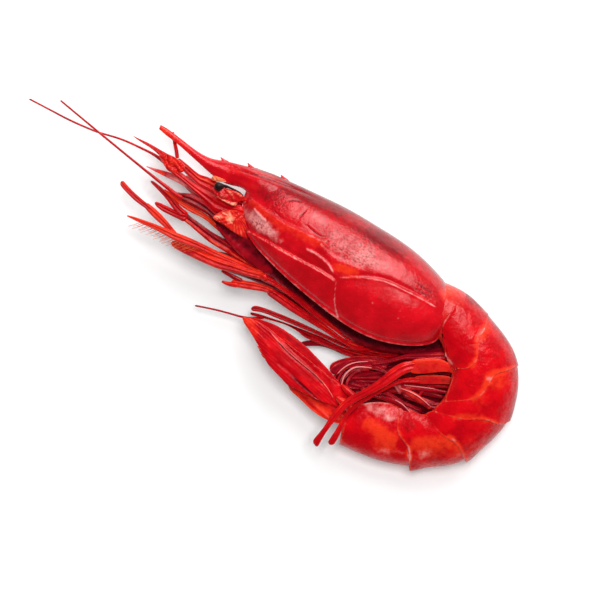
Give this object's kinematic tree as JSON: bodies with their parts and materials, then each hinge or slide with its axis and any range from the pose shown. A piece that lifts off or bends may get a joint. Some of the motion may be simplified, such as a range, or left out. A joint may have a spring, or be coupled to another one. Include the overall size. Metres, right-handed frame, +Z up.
{
  "type": "cooked red prawn",
  "caption": "Whole cooked deep-sea red prawn lying on its side, tail curled under, with a toothed beak, feelers, legs, swimmerets and folded tail fan; a piece of food.",
  "frame": {"origin": "middle of the outline, on the plane the prawn rests on", "axes": "+Z up from the resting plane, the left flank facing up; +X from the feelers towards the bend of the abdomen; +Y towards the back of the head"},
  "size_m": [0.1228, 0.0932, 0.0203],
  "materials": {
    "shell": "wet glossy cooked shell, deep red",
    "tail_shell": "wet glossy cooked shell, orange red where it is thin",
    "limb": "satin cooked limb shell, red with orange tips",
    "under_limb": "satin cooked limb shell, dark red",
    "swimmeret": "satin soft cooked blades, red to orange",
    "scale": "thin translucent pale pink shell",
    "eye": "glossy black on a pale orange stalk"
  },
  "bodies": {
    "root": {"carapace": "shell", "abdomen_1": "shell", "abdomen_2": "shell", "abdomen_3": "shell", "abdomen_4": "shell", "abdomen_5": "shell", "abdomen_6": "tail_shell", "telson": "tail_shell", "uropod_inner_left": "tail_shell", "uropod_outer_left": "tail_shell", "uropod_inner_right": "tail_shell", "uropod_outer_right": "tail_shell", "antennule_left": "limb", "antennule_right": "limb", "antenna_left": "limb", "antenna_right": "limb", "maxilliped_left": "limb", "leg_left_1": "limb", "leg_left_2": "limb", "leg_left_3": "limb", "leg_left_4": "limb", "leg_left_5": "limb", "mouthparts": "under_limb", "maxilliped_right": "under_limb", "leg_right_1": "under_limb", "leg_right_2": "under_limb", "leg_right_3": "under_limb", "leg_right_4": "under_limb", "leg_right_5": "under_limb", "swimmeret_right_1": "under_limb", "swimmeret_right_2": "under_limb", "swimmeret_right_3": "under_limb", "swimmeret_right_4": "under_limb", "swimmeret_right_5": "under_limb", "swimmeret_left_1": "swimmeret", "swimmeret_left_2": "swimmeret", "swimmeret_left_3": "swimmeret", "swimmeret_left_4": "swimmeret", "swimmeret_left_5": "swimmeret", "antennal_scale_left": "scale", "antennal_scale_right": "scale", "eye_left": "eye", "eye_right": "eye"}
  },
  "joints": []
}
